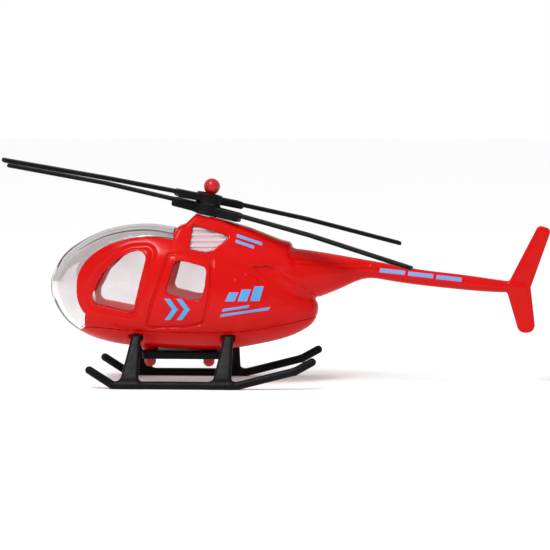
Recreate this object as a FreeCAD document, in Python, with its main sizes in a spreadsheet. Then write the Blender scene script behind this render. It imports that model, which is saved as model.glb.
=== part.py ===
import FreeCAD, Part

import math
import os

import Sketcher

# Toy helicopter with a tilted mast, two free-turning two-blade rotors and a skid undercarriage.
# Millimetres. +Z is up, -X is the nose, -Y is the left (port) side, and the skids stand on Z = 0.
# Positions along the fuselage are stations: millimetres aft of the nose tip, whose X is nose_x.
# Positions along the mast are heights measured on its axis from the ground plane.

DIMENSIONS = {
    "nose_x": -71.44,
    # cabin pod
    "pod_nose_height": 31.0,
    "pod_tail_station": 86.2,
    "pod_tail_height": 24.3,
    "pod_centre_station": 43.0,
    "pod_centre_height": 31.0,
    "pod_half_width": 15.1,
    "pod_half_height": 20.0,
    "pod_squareness": 2.4,
    "wall": 1.2,
    "cut_half_width": 20.0,
    "overshoot": 1.0,
    # clear parts
    "glass_gap": 0.1,
    "glass": 0.8,
    "canopy_half_width": 9.3,
    "canopy_opening_half_width": 9.4,
    "pane_start_half_width": 9.7,
    "rib_inset": 0.4,
    "rib_top": 48.6,
    "rib_pitch": 1.75,
    "rib_thickness": 0.7,
    # engine fairing behind the canopy, a roof that narrows upward and aft
    "roof_front_station": 36.0,
    "roof_rear_station": 79.0,
    "roof_foot_height": 38.0,
    "roof_front_foot": 16.2,
    "roof_front_top": 3.6,
    "roof_front_height": 59.0,
    "roof_rear_foot": 7.2,
    "roof_rear_top": 2.7,
    "roof_rear_height": 47.5,
    # tail fin
    "fin_thickness": 2.2,
    "fin_tip_radius": 1.5,
    "fin_foot_radius": 2.2,
    "fin_edge_radius": 0.5,
    # mast and rotors
    "mast_station": 37.5,
    "mast_tilt": 13.0,
    "pin_radius": 1.2,
    "pin_bottom": 44.0,
    "ball_radius": 2.6,
    "ball_height": 64.75,
    "pin_hole_radius": 1.25,
    "boss_radius": 2.9,
    "boss_bottom": 46.0,
    "boss_top": 55.15,
    "seat_recess_radius": 3.4,
    "clip_radius": 3.2,
    "clip_gap": 0.02,
    "clip_bottom": 45.2,
    "clip_thickness": 0.7,
    "seat_radius": 3.0,
    "seat_bottom": 55.2,
    "seat_thickness": 0.3,
    "spacer_radius": 2.8,
    "spacer_bottom": 59.0,
    "spacer_thickness": 0.3,
    "bore_radius": 1.27,
    "hub_radius": 4.2,
    "rotor_radius": 71.0,
    "arm_reach": 11.5,
    "arm_width": 5.2,
    "blade_chord": 4.6,
    "blade_thickness": 1.3,
    "blade_knee": 36.0,
    "blade_tip_radius": 1.2,
    "lower_hub_bottom": 55.6,
    "lower_hub_thickness": 3.3,
    "lower_blade_height": 58.1,
    "lower_fore_sag": 0.0006,
    "lower_aft_sag": 0.00057,
    "lower_angle": -16.0,
    "upper_hub_bottom": 59.4,
    "upper_hub_thickness": 2.65,
    "upper_blade_height": 61.1,
    "upper_fore_sag": 0.0002,
    "upper_aft_sag": 0.0005,
    "upper_angle": 28.5,
    # undercarriage
    "skid_spread": 20.0,
    "skid_radius": 1.3,
    "skid_axis_height": 1.2,
    "ground_block": 10.0,
    "leg_half_width": 1.1,
    "leg_top_spread": 11.1,
    "leg_top_height": 16.2,
    "tongue_end": 4.0,
    "tongue_bottom": 14.4,
    "front_leg_aft": 30.4,
    "rear_leg_aft": 59.8,
    "leg_foot_length": 6.2,
    "leg_head_length": 3.0,
    "pocket_fore_clearance": 1.1,
    "pocket_aft_clearance": 0.25,
    "pocket_back": 8.6,
    "pocket_wall": 1.1,
    "pocket_top": 16.4,
    "slot_clearance": 0.15,
    "slot_end": 3.4,
    # belly plate and its two push pins
    "plate_front": 30.0,
    "plate_rear": 55.2,
    "plate_bottom": 8.0,
    "plate_thickness": 2.6,
    "plate_half_width": 5.6,
    "plate_corner": 1.2,
    "plate_edge": 0.5,
    "front_pin_station": 32.1,
    "rear_pin_station": 51.0,
    "push_head_radius": 1.85,
    "push_shank_radius": 1.1,
    "push_hole_radius": 1.2,
    "push_top": 21.8,
    "push_seat": 7.0,
    "push_gap": 0.05,
    "pan_boss_radius": 2.7,
    "pan_boss_bottom": 10.7,
    "pan_boss_top": 18.0,
    "bar_bottom": 18.3,
    "bar_top": 22.2,
    "bar_length": 5.4,
    "bar_inset": 0.6,
    "seam": 0.12,
    "corner_radius": 0.9,
    "louvre_corner": 0.5,
}

# Cabin pod sections: station, top height, bottom height, half width.
POD_SECTIONS = [
    (0.6, 34.9, 27.4, 2.6),
    (2.1, 38.0, 24.2, 5.2),
    (5.0, 41.8, 20.2, 7.7),
    (9.0, 44.9, 17.0, 9.7),
    (16.0, 48.5, 13.9, 12.1),
    (24.0, 50.6, 12.3, 13.8),
    (33.0, 51.1, 11.4, 14.8),
    (42.0, 49.7, 11.0, 15.1),
    (52.0, 46.8, 10.8, 14.8),
    (61.0, 43.0, 11.6, 13.5),
    (70.0, 38.4, 13.3, 11.4),
    (77.5, 33.6, 15.4, 8.4),
    (82.5, 29.7, 17.9, 5.6),
    (85.3, 27.0, 20.8, 3.1),
]

# Tail boom sections: station, top height, bottom height, half width.
BOOM_SECTIONS = [
    (68.0, 44.2, 24.5, 8.4),
    (78.0, 43.4, 24.6, 7.8),
    (86.0, 42.4, 27.6, 6.2),
    (93.4, 41.2, 30.6, 4.6),
    (101.5, 39.8, 33.8, 2.75),
    (108.0, 38.7, 33.3, 2.4),
    (116.0, 37.2, 32.1, 2.2),
    (132.0, 35.2, 30.4, 2.1),
    (146.0, 33.3, 29.6, 1.65),
    (152.0, 32.6, 29.8, 1.0),
]

# Side outlines, as (station, height) corners.
OUTLINES = {
    "fairing": [
        (40.7, 38.0), (40.7, 48.0), (41.9, 50.6), (43.9, 51.3), (47.2, 54.5), (55.0, 52.7),
        (64.5, 49.9), (74.1, 46.1), (77.0, 45.4), (77.7, 44.6), (77.7, 38.0),
    ],
    "fairing_cavity": [
        (42.3, 36.0), (42.3, 48.4), (44.6, 49.9), (47.7, 53.0), (54.7, 51.3), (61.5, 49.2),
        (61.5, 36.0),
    ],
    "fin": [
        (147.5, 33.2), (156.9, 51.0), (160.4, 49.9), (153.9, 31.2), (155.6, 16.7),
        (150.7, 16.7), (146.7, 29.6),
    ],
    "canopy_cut": [
        (-5.0, 5.0), (9.6, 5.0), (9.6, 16.0), (12.0, 17.6), (12.2, 22.5), (40.5, 42.0),
        (40.5, 60.0), (-5.0, 60.0),
    ],
    "pan_cut": [
        (9.75, 4.0), (9.75, 17.0), (11.9, 18.55), (16.7, 18.6), (27.0, 17.7), (43.2, 17.25),
        (59.7, 17.3), (69.9, 18.6), (78.3, 20.2), (88.0, 22.2), (88.0, 4.0),
    ],
    "front_window": [
        (32.9, 43.9), (27.9, 23.4), (15.0, 26.1), (15.0, 29.5), (18.0, 35.7), (22.3, 40.0),
        (27.0, 42.6),
    ],
    "door_window": [
        (41.3, 40.2), (45.0, 39.8), (51.5, 38.0), (50.9, 32.0), (49.6, 27.6), (45.8, 27.9),
        (38.3, 29.7),
    ],
    "louvre": [
        (46.5, 51.1), (57.9, 47.6), (57.7, 46.8), (53.3, 43.2), (50.9, 42.6), (45.7, 43.8),
    ],
    "pane": [
        (34.2, 44.8), (44.0, 41.6), (52.6, 39.4), (51.2, 26.5), (28.0, 22.6), (13.6, 24.6),
        (14.0, 31.0), (17.5, 37.5), (26.0, 43.8),
    ],
}

# Centre line of a skid bar: station and height of each bend, from the raised front tip aft.
SKID_ROUTE = [(14.9, 5.9), (22.3, 1.2), (61.5, 1.2), (79.8, 5.9), (85.2, 8.9)]

LOUVRE_RIBS = 4
SECTION_POINTS = 16
EDGE_ON_Y = FreeCAD.Vector(0, 1, 0)

doc = FreeCAD.newDocument("toy_helicopter")
sheet = doc.addObject("Spreadsheet::Sheet", "dims")
sheet_rows = iter(range(1, 1000))


def put_cell(alias, value):
    """One named number in the sheet."""
    row = next(sheet_rows)
    sheet.set(f"A{row}", alias)
    sheet.set(f"B{row}", str(value))
    sheet.setAlias(f"B{row}", alias)


def fill_sheet():
    """All driving dimensions, section tables and outline corners."""
    for alias, value in DIMENSIONS.items():
        put_cell(alias, value)
    for group, sections in (("pod", POD_SECTIONS), ("boom", BOOM_SECTIONS)):
        for number, section in enumerate(sections, 1):
            for word, value in zip(("station", "top", "bottom", "half"), section):
                put_cell(f"{group}_{word}_{number}", value)
    for name, corners in [*OUTLINES.items(), ("skid", SKID_ROUTE)]:
        for number, (station, height) in enumerate(corners, 1):
            put_cell(f"{name}_station_{number}", station)
            put_cell(f"{name}_height_{number}", height)


def size(alias):
    """A number read from the sheet."""
    return float(sheet.get(alias))


def at_nose(thing):
    """Places an object drawn in stations into the model's X."""
    thing.Placement = FreeCAD.Placement()
    thing.setExpression("Placement.Base.x", "dims.nose_x")
    return thing


def on_mast(thing, height, turn="0"):
    """Places an object drawn about its own Z onto the leaning mast, at a height on the mast axis."""
    place = (
        "create(<<placement>>; create(<<vector>>;"
        f" dims.nose_x + dims.mast_station + ({height}) * sin(dims.mast_tilt); 0;"
        f" ({height}) * cos(dims.mast_tilt)); create(<<rotation>>; 0; dims.mast_tilt; 0)"
        f" * create(<<rotation>>; {turn}; 0; 0))"
    )
    thing.setExpression("Placement", place)
    return thing


def new_body(name):
    """A PartDesign body whose label is its name."""
    made = doc.addObject("PartDesign::Body", name)
    made.Label = name
    return made


def new_sketch(owner, name, plane_role, offset=None):
    """A sketch on one of the body's origin planes, with an optional offset expression along its normal."""
    sketch = owner.newObject("Sketcher::SketchObject", name)
    plane = [f for f in owner.Origin.OriginFeatures if f.Role == plane_role][0]
    sketch.AttachmentSupport = [(plane, "")]
    sketch.MapMode = "FlatFace"
    if offset is not None:
        sketch.setExpression("AttachmentOffset.Base.z", offset)
    return sketch


def draw_polygon(sketch, corners):
    """Closed polygon whose corners are pairs of expressions, each corner held by two dimensions."""
    count = len(corners)
    for number in range(count):
        start = FreeCAD.Vector(number, number * number, 0)
        end = FreeCAD.Vector(number + 1, number * number + 2, 0)
        sketch.addGeometry(Part.LineSegment(start, end), False)
    for number in range(count):
        sketch.addConstraint(Sketcher.Constraint("Coincident", number, 2, (number + 1) % count, 1))
    place_corners(sketch, corners)


def place_corners(sketch, corners):
    """Holds each line's start point at its pair of expressions, measured from the sketch origin."""
    for number, pair in enumerate(corners):
        for word, expression in zip(("DistanceX", "DistanceY"), pair):
            index = sketch.addConstraint(Sketcher.Constraint(word, -1, 1, number, 1, 1.0))
            name = f"{word}_{number}"
            sketch.renameConstraint(index, name)
            sketch.setExpression(f"Constraints.{name}", expression)


def draw_circle(sketch, radius, name):
    """Circle about the sketch origin with a bound radius."""
    circle = Part.Circle(FreeCAD.Vector(0, 0, 0), FreeCAD.Vector(0, 0, 1), 1.0)
    number = sketch.addGeometry(circle, False)
    sketch.addConstraint(Sketcher.Constraint("Coincident", number, 3, -1, 1))
    index = sketch.addConstraint(Sketcher.Constraint("Radius", number, 1.0))
    sketch.renameConstraint(index, name)
    sketch.setExpression(f"Constraints.{name}", radius)


def rectangle(x_low, x_high, y_low, y_high):
    """The four corners of a rectangle as pairs of expressions."""
    return [(x_low, y_low), (x_high, y_low), (x_high, y_high), (x_low, y_high)]


def pad(owner, sketch, length, symmetric=False):
    """Pads a sketch by a bound length."""
    made = owner.newObject("PartDesign::Pad", "pad")
    made.Profile = sketch
    made.setExpression("Length", length)
    if symmetric:
        made.SideType = "Symmetric"
    owner.Tip = made
    return made


def is_along(edge, direction):
    """True for a straight edge parallel to a direction."""
    if not isinstance(edge.Curve, Part.Line):
        return False
    return abs(abs(edge.Curve.Direction * direction) - 1.0) < 1e-6


def round_edges(owner, base, wanted, radius):
    """Fillets the base feature's edges that the test picks."""
    doc.recompute()
    names = [f"Edge{n}" for n, edge in enumerate(base.Shape.Edges, 1) if wanted(edge)]
    made = owner.newObject("PartDesign::Fillet", "fillet")
    made.Base = (base, names)
    made.setExpression("Radius", radius)
    owner.Tip = made
    return made


def outline_corners(name, share=None):
    """An outline's corners as expressions, drawn in about the outline's middle if a share is given."""
    corners = OUTLINES[name]
    mid_station = sum(c[0] for c in corners) / len(corners)
    mid_height = sum(c[1] for c in corners) / len(corners)
    made = []
    for number in range(1, len(corners) + 1):
        station = f"dims.{name}_station_{number}"
        height = f"dims.{name}_height_{number}"
        if share is not None:
            station = f"{mid_station} + ({station} - {mid_station}) * {share}"
            height = f"{mid_height} + ({height} - {mid_height}) * {share}"
        made.append((station, height))
    return made


def side_prism(label, outline, half_width, radius=None, share=None):
    """An outline drawn in side view and padded to both sides, with rounded corners if asked."""
    owner = new_body(label)
    sketch = new_sketch(owner, label + "_sketch", "XZ_Plane")
    draw_polygon(sketch, outline_corners(outline, share))
    made = pad(owner, sketch, f"2 * {half_width}", symmetric=True)
    if radius is not None:
        round_edges(owner, made, lambda e: is_along(e, EDGE_ON_Y), radius)
    return at_nose(owner)


def box(label, station, length, y_low, width, z_low, height):
    """A box by its low corner and sides, all expressions, drawn in stations."""
    made = doc.addObject("Part::Box", label)
    made.setExpression("Length", length)
    made.setExpression("Width", width)
    made.setExpression("Height", height)
    made.setExpression("Placement.Base.x", f"dims.nose_x + {station}")
    made.setExpression("Placement.Base.y", y_low)
    made.setExpression("Placement.Base.z", z_low)
    return made


def cylinder(label, radius, height):
    """An upright cylinder with bound sizes."""
    made = doc.addObject("Part::Cylinder", label)
    made.setExpression("Radius", radius)
    made.setExpression("Height", height)
    return made


def combine(kind, label, *things):
    """A boolean: MultiFuse and MultiCommon of all, or Cut of the second from the first."""
    made = doc.addObject("Part::" + kind, label)
    if kind == "Cut":
        made.Base, made.Tool = things
    else:
        made.Shapes = list(things)
    made.Label = label
    return made


def pod_section(station, top, bottom, half):
    """A squared-off oval section as one closed smooth curve."""
    power = 2.0 / size("pod_squareness")
    middle = (top + bottom) / 2
    rise = (top - bottom) / 2
    points = []
    for number in range(SECTION_POINTS):
        angle = 2 * math.pi * number / SECTION_POINTS
        across = math.copysign(abs(math.cos(angle)) ** power, math.cos(angle))
        upward = math.copysign(abs(math.sin(angle)) ** power, math.sin(angle))
        points.append(FreeCAD.Vector(station, half * across, middle + rise * upward))
    curve = Part.BSplineCurve()
    curve.interpolate(Points=points, PeriodicFlag=True)
    return Part.Wire(curve.toShape())


def pod(label, inset):
    """The cabin pod drawn in by an inset on every side, about the pod's middle."""
    station_mid = size("pod_centre_station")
    height_mid = size("pod_centre_height")
    along = 1 - inset / station_mid
    across = 1 - inset / size("pod_half_width")
    upward = 1 - inset / size("pod_half_height")

    def station(value):
        return station_mid + (value - station_mid) * along

    def height(value):
        return height_mid + (value - height_mid) * upward

    wires = [Part.Vertex(station(0.0), 0, height(size("pod_nose_height")))]
    for number in range(1, len(POD_SECTIONS) + 1):
        wires.append(
            pod_section(
                station(size(f"pod_station_{number}")),
                height(size(f"pod_top_{number}")),
                height(size(f"pod_bottom_{number}")),
                size(f"pod_half_{number}") * across,
            )
        )
    wires.append(Part.Vertex(station(size("pod_tail_station")), 0, height(size("pod_tail_height"))))
    made = doc.addObject("Part::Feature", label)
    made.Shape = Part.makeLoft(wires, True)
    made.Placement = FreeCAD.Placement(FreeCAD.Vector(size("nose_x"), 0, 0), FreeCAD.Rotation())
    return made


def roof(label, inset):
    """The engine fairing's slanted side walls as a ruled loft between a front and a rear section."""
    owner = new_body(label)
    sketches = []
    for end in ("front", "rear"):
        sketch = new_sketch(owner, f"{label}_{end}", "YZ_Plane", f"dims.roof_{end}_station")
        foot = f"dims.roof_{end}_foot - {inset}"
        top = f"dims.roof_{end}_top - {inset}"
        low = "dims.roof_foot_height"
        high = f"dims.roof_{end}_height"
        draw_polygon(sketch, [(f"-({foot})", low), (foot, low), (top, high), (f"-({top})", high)])
        sketches.append(sketch)
    made = owner.newObject("PartDesign::AdditiveLoft", "loft")
    made.Profile = sketches[0]
    made.Sections = [sketches[1]]
    made.Ruled = True
    owner.Tip = made
    return at_nose(owner)


def boom():
    """The tail boom as a ruled loft through upright ellipses."""
    made = doc.addObject("Part::Loft", "boom")
    ellipses = []
    upright = FreeCAD.Rotation(FreeCAD.Vector(0, 1, 0), -90)
    for number in range(1, len(BOOM_SECTIONS) + 1):
        ellipse = doc.addObject("Part::Ellipse", f"boom_ellipse_{number}")
        ellipse.Placement = FreeCAD.Placement(FreeCAD.Vector(0, 0, 0), upright)
        top = f"dims.boom_top_{number}"
        bottom = f"dims.boom_bottom_{number}"
        ellipse.setExpression("MajorRadius", f"({top} - {bottom}) / 2")
        ellipse.setExpression("MinorRadius", f"dims.boom_half_{number}")
        ellipse.setExpression("Placement.Base.x", f"dims.nose_x + dims.boom_station_{number}")
        ellipse.setExpression("Placement.Base.z", f"({top} + {bottom}) / 2")
        ellipses.append(ellipse)
    made.Sections = ellipses
    made.Solid = True
    made.Ruled = True
    return made


def fin():
    """The flat forked tail fin with rounded tips and softened edges."""
    owner = new_body("fin")
    sketch = new_sketch(owner, "fin_sketch", "XZ_Plane")
    draw_polygon(sketch, outline_corners("fin"))
    plate = pad(owner, sketch, "dims.fin_thickness", symmetric=True)
    rounded = plate
    for corners, radius in (((2, 3), "dims.fin_tip_radius"), ((5, 6), "dims.fin_foot_radius")):
        spots = [(size(f"fin_station_{n}"), size(f"fin_height_{n}")) for n in corners]

        def at_tip(edge):
            place = edge.CenterOfMass
            near = min(abs(place.x - x) + abs(place.z - z) for x, z in spots)
            return is_along(edge, EDGE_ON_Y) and near < 0.01

        rounded = round_edges(owner, rounded, at_tip, radius)
        doc.recompute()
    half = size("fin_thickness") / 2
    round_edges(
        owner, rounded, lambda e: abs(abs(e.CenterOfMass.y) - half) < 1e-4, "dims.fin_edge_radius"
    )
    return at_nose(owner)


def mast_boss_and_hole():
    """The boss that holds the rotor pin, its hole and the flat seat on top, all on the mast axis."""
    boss = cylinder("mast_boss", "dims.boss_radius", "dims.boss_top - dims.boss_bottom")
    on_mast(boss, "dims.boss_bottom")
    hole = cylinder("mast_hole", "dims.pin_hole_radius", "dims.boss_top")
    on_mast(hole, "dims.clip_bottom")
    seat = cylinder("mast_seat", "dims.seat_recess_radius", "dims.hub_radius")
    on_mast(seat, "dims.boss_top")
    return boss, hole, seat


def push_pin_holes(label, z_low, z_high):
    """The two upright holes for the push pins."""
    made = []
    for end in ("front", "rear"):
        hole = cylinder(f"{label}_{end}", "dims.push_hole_radius", f"({z_high}) - ({z_low})")
        hole.setExpression("Placement.Base.x", f"dims.nose_x + dims.{end}_pin_station")
        hole.setExpression("Placement.Base.z", z_low)
        made.append(hole)
    return combine("MultiFuse", label, *made)


def cross_bars(limit):
    """Two bars between the cabin walls that the push pins grip, kept inside the pod."""
    bars = []
    for end in ("front", "rear"):
        bars.append(
            box(
                f"{end}_bar", f"dims.{end}_pin_station - dims.bar_length / 2", "dims.bar_length",
                "-dims.pod_half_width", "2 * dims.pod_half_width",
                "dims.bar_bottom", "dims.bar_top - dims.bar_bottom",
            )
        )
    both = combine("MultiFuse", "both_bars", *bars)
    return combine("MultiCommon", "cross_bars", both, limit)


def canopy_prism(label, half_width):
    """The space in front of the cabin that the clear canopy fills."""
    return side_prism(label, "canopy_cut", half_width)


def upper_body(pods, roofs):
    """Die-cast upper shell: cabin walls, engine fairing, tail boom and fin in one piece."""
    fairing_side = side_prism("fairing_side", "fairing", "dims.cut_half_width")
    fairing = combine("MultiCommon", "fairing", fairing_side, roofs["outer"])
    solid = combine("MultiFuse", "body_solid", pods["outer"], fairing, boom(), fin())
    cavity_side = side_prism("fairing_cavity_side", "fairing_cavity", "dims.cut_half_width")
    fairing_cavity = combine("MultiCommon", "fairing_cavity", cavity_side, roofs["wall"])
    cavity = combine("MultiFuse", "body_cavity", pods["wall"], fairing_cavity)
    shell = combine("Cut", "body_shell", solid, cavity)
    corner = "dims.corner_radius"
    openings = combine(
        "MultiFuse",
        "body_openings",
        side_prism("front_window_cut", "front_window", "dims.cut_half_width", corner),
        side_prism("door_window_cut", "door_window", "dims.cut_half_width", corner),
        side_prism("louvre_cut", "louvre", "dims.cut_half_width", "dims.louvre_corner"),
        canopy_prism("nose_cut", "dims.canopy_opening_half_width"),
        side_prism("pan_space", "pan_cut", "dims.cut_half_width"),
    )
    opened = combine("Cut", "body_open", shell, openings)
    boss, hole, seat = mast_boss_and_hole()
    filled = combine("MultiFuse", "body_filled", opened, boss, cross_bars(pods["bar"]))
    holes = combine(
        "MultiFuse", "body_holes", hole, seat,
        push_pin_holes(
            "bar_holes", "dims.bar_bottom - dims.overshoot", "dims.push_top + dims.slot_clearance"
        ),
    )
    return combine("Cut", "upper_body", filled, holes)


def leg_pockets(label, fore, aft, top, back, floor):
    """Four boxes round the leg heads, on both sides of the belly, with room fore and aft of them."""
    made = []
    for end in ("front", "rear"):
        station = f"dims.{end}_leg_aft - dims.leg_head_length - ({fore})"
        length = f"dims.leg_head_length + ({fore}) + ({aft})"
        width = f"dims.cut_half_width - ({back})"
        height = f"({top}) - ({floor})"
        made.append(
            box(f"{label}_{end}_left", station, length, "-dims.cut_half_width", width, floor, height)
        )
        made.append(
            box(f"{label}_{end}_right", station, length, back, width, floor, height)
        )
    return combine("MultiFuse", label, *made)


def belly_pan(pods):
    """The red belly shell below the waist seam, with leg pockets and push-pin bosses."""
    pan_space = side_prism("pan_block", "pan_cut", "dims.cut_half_width")
    pan_space.setExpression("Placement.Base.z", "-dims.seam")
    shell = combine("Cut", "pan_shell", pods["outer"], pods["wall"])
    backs = leg_pockets(
        "pocket_backs", "dims.pocket_fore_clearance + dims.pocket_wall",
        "dims.pocket_aft_clearance + dims.pocket_wall", "dims.pocket_top + dims.pocket_wall",
        "dims.pocket_back - dims.pocket_wall", "dims.plate_bottom",
    )
    backs_in_pod = combine("MultiCommon", "pocket_backs_in_pod", backs, pods["outer"])
    bosses = []
    for end in ("front", "rear"):
        boss = cylinder(
            f"pan_boss_{end}", "dims.pan_boss_radius", "dims.pan_boss_top - dims.pan_boss_bottom"
        )
        boss.setExpression("Placement.Base.x", f"dims.nose_x + dims.{end}_pin_station")
        boss.setExpression("Placement.Base.z", "dims.pan_boss_bottom")
        bosses.append(boss)
    stock = combine("MultiFuse", "pan_stock", shell, backs_in_pod, *bosses)
    lower = combine("MultiCommon", "pan_lower", stock, pan_space)
    pockets = leg_pockets(
        "pockets", "dims.pocket_fore_clearance", "dims.pocket_aft_clearance", "dims.pocket_top",
        "dims.pocket_back", "dims.plate_bottom",
    )
    slots = leg_pockets(
        "tongue_slots", "dims.slot_clearance", "dims.slot_clearance",
        "dims.leg_top_height + dims.slot_clearance", "dims.slot_end",
        "dims.tongue_bottom - dims.slot_clearance",
    )
    cuts = combine(
        "MultiFuse", "pan_cuts", pockets, slots,
        push_pin_holes(
            "pan_holes", "dims.pan_boss_bottom - dims.overshoot",
            "dims.pan_boss_top + dims.overshoot",
        ),
    )
    return combine("Cut", "belly_pan", lower, cuts)


def canopy(pods):
    """The clear bubble between the cabin's side walls."""
    shell = combine("Cut", "canopy_shell", pods["outer"], pods["glass_inner"])
    space = canopy_prism("canopy_space", "dims.canopy_half_width")
    made = combine("MultiCommon", "canopy_whole", shell, space)
    seam = side_prism("canopy_seam", "pan_cut", "dims.cut_half_width")
    return combine("Cut", "canopy", made, seam)


def mirrored(thing, label):
    """The same piece on the right side."""
    made = doc.addObject("Part::Mirroring", label)
    made.Source = thing
    made.Normal = FreeCAD.Vector(0, 1, 0)
    made.Label = label
    return made


def side_glazing(pods):
    """The clear pane behind the front and door windows of the left side."""
    layer = combine("Cut", "pane_layer", pods["glass_outer"], pods["glass_inner"])
    outline = side_prism("pane_outline", "pane", "dims.cut_half_width")
    half = box(
        "pane_half", "0", "dims.pod_tail_station", "-dims.cut_half_width",
        "dims.cut_half_width - dims.pane_start_half_width", "0", "dims.roof_front_height",
    )
    return combine("MultiCommon", "left_side_glazing", layer, outline, half)


def louvre_glazing(roofs):
    """The clear ribbed insert behind the left louvre opening of the engine fairing."""
    plate = combine("Cut", "louvre_layer", roofs["glass_outer"], roofs["glass_inner"])
    outline = side_prism("louvre_outline", "louvre", "dims.cut_half_width", None, 1.05)
    backing = combine("MultiCommon", "louvre_backing", plate, outline)
    rib_layer = combine("Cut", "rib_layer", roofs["rib"], roofs["glass_inner"])
    bars = []
    for number in range(LOUVRE_RIBS):
        bar = box(
            f"rib_{number}", "dims.roof_front_station", "dims.pod_centre_station",
            "-dims.cut_half_width", "2 * dims.cut_half_width",
            f"dims.rib_top - {number} * dims.rib_pitch", "dims.rib_thickness",
        )
        bars.append(bar)
    inside = side_prism("rib_outline", "louvre", "dims.cut_half_width", None, 0.93)
    ribs = combine(
        "MultiCommon", "ribs", rib_layer, combine("MultiFuse", "rib_bars", *bars), inside
    )
    both = combine("MultiFuse", "louvre_both", backing, ribs)
    half = box(
        "louvre_half", "0", "dims.pod_tail_station", "-dims.cut_half_width", "dims.cut_half_width",
        "0", "dims.roof_front_height",
    )
    return combine("MultiCommon", "left_louvre_glazing", both, half)


def rotor(label, place):
    """A two-blade rotor: round hub, two thick arms and two drooping blades, bored for the pin."""
    owner = new_body(label)
    hub_low = f"dims.{place}_hub_bottom"
    thickness = f"dims.{place}_hub_thickness"
    hub_sketch = new_sketch(owner, label + "_hub", "XY_Plane", hub_low)
    draw_circle(hub_sketch, "dims.hub_radius", "hub")
    pad(owner, hub_sketch, thickness)
    arm_sketch = new_sketch(owner, label + "_arms", "XY_Plane", hub_low)
    draw_polygon(
        arm_sketch,
        rectangle("-dims.arm_reach", "dims.arm_reach", "-dims.arm_width / 2", "dims.arm_width / 2"),
    )
    pad(owner, arm_sketch, thickness)
    blade_sketch = new_sketch(owner, label + "_blades", "XZ_Plane")
    middle = f"dims.{place}_blade_height"
    low_side = []
    high_side = []
    for side, reach in (
        ("fore", "-dims.rotor_radius"), ("fore", "-dims.blade_knee"), ("fore", "0"),
        ("aft", "dims.blade_knee"), ("aft", "dims.rotor_radius"),
    ):
        centre = f"{middle} - dims.{place}_{side}_sag * ({reach}) ^ 2"
        low_side.append((reach, f"{centre} - dims.blade_thickness / 2"))
        high_side.append((reach, f"{centre} + dims.blade_thickness / 2"))
    draw_polygon(blade_sketch, low_side + high_side[::-1])
    blades = pad(owner, blade_sketch, "dims.blade_chord", symmetric=True)
    tip = size("rotor_radius")
    rounded = round_edges(
        owner,
        blades,
        lambda e: abs(abs(e.CenterOfMass.x) - tip) < 0.01 and abs(e.CenterOfMass.y) > 1,
        "dims.blade_tip_radius",
    )
    owner.Tip = rounded
    doc.recompute()
    bore_sketch = new_sketch(owner, label + "_bore", "XY_Plane", hub_low)
    draw_circle(bore_sketch, "dims.bore_radius", "bore")
    bore = owner.newObject("PartDesign::Pocket", "bore")
    bore.Profile = bore_sketch
    bore.setExpression("Length", f"{thickness} + dims.overshoot")
    bore.Reversed = True
    owner.Tip = bore
    return on_mast(owner, "0", f"dims.{place}_angle")


def washer(label, radius, hole, bottom, thickness):
    """A flat ring on the mast."""
    owner = new_body(label)
    sketch = new_sketch(owner, label + "_sketch", "XY_Plane")
    draw_circle(sketch, radius, "outer")
    draw_circle(sketch, hole, "hole")
    pad(owner, sketch, thickness)
    return on_mast(owner, bottom)


def rotor_pin():
    """The red ball-headed pin that both rotors turn on."""
    ball = doc.addObject("Part::Sphere", "pin_ball")
    ball.setExpression("Radius", "dims.ball_radius")
    on_mast(ball, "dims.ball_height")
    shank = cylinder("pin_shank", "dims.pin_radius", "dims.ball_height - dims.pin_bottom")
    on_mast(shank, "dims.pin_bottom")
    return combine("MultiFuse", "rotor_pin", ball, shank)


def push_pin(end):
    """A red dome-headed pin that holds the plate and the pan to the upper body."""
    dome = doc.addObject("Part::Sphere", f"{end}_dome")
    dome.setExpression("Radius", "dims.push_head_radius")
    dome.Angle1 = -90
    dome.Angle2 = 0
    neck = cylinder(
        f"{end}_neck", "dims.push_head_radius", "dims.plate_bottom - dims.push_gap - dims.push_seat"
    )
    shank = cylinder(
        f"{end}_shank", "dims.push_shank_radius", "dims.push_top - dims.push_seat + dims.overshoot"
    )
    seat = "dims.push_seat"
    for thing, height in ((dome, seat), (neck, seat), (shank, f"{seat} - dims.overshoot")):
        thing.setExpression("Placement.Base.x", f"dims.nose_x + dims.{end}_pin_station")
        thing.setExpression("Placement.Base.z", height)
    return combine("MultiFuse", f"{end}_push_pin", dome, neck, shank)


def belly_plate():
    """The black plate under the belly, with rounded corners and two holes."""
    owner = new_body("plate_blank")
    sketch = new_sketch(owner, "plate_sketch", "XY_Plane", "dims.plate_bottom")
    draw_polygon(
        sketch,
        rectangle(
            "dims.plate_front", "dims.plate_rear", "-dims.plate_half_width", "dims.plate_half_width"
        ),
    )
    block = pad(owner, sketch, "dims.plate_thickness")
    upright = FreeCAD.Vector(0, 0, 1)
    corners = round_edges(owner, block, lambda e: is_along(e, upright), "dims.plate_corner")
    doc.recompute()
    low = size("plate_bottom")
    round_edges(owner, corners, lambda e: abs(e.CenterOfMass.z - low) < 1e-4, "dims.plate_edge")
    at_nose(owner)
    holes = push_pin_holes("plate_holes", "dims.plate_bottom - dims.overshoot",
        "dims.pan_boss_bottom + dims.overshoot")
    return combine("Cut", "belly_plate", owner, holes)


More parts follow.
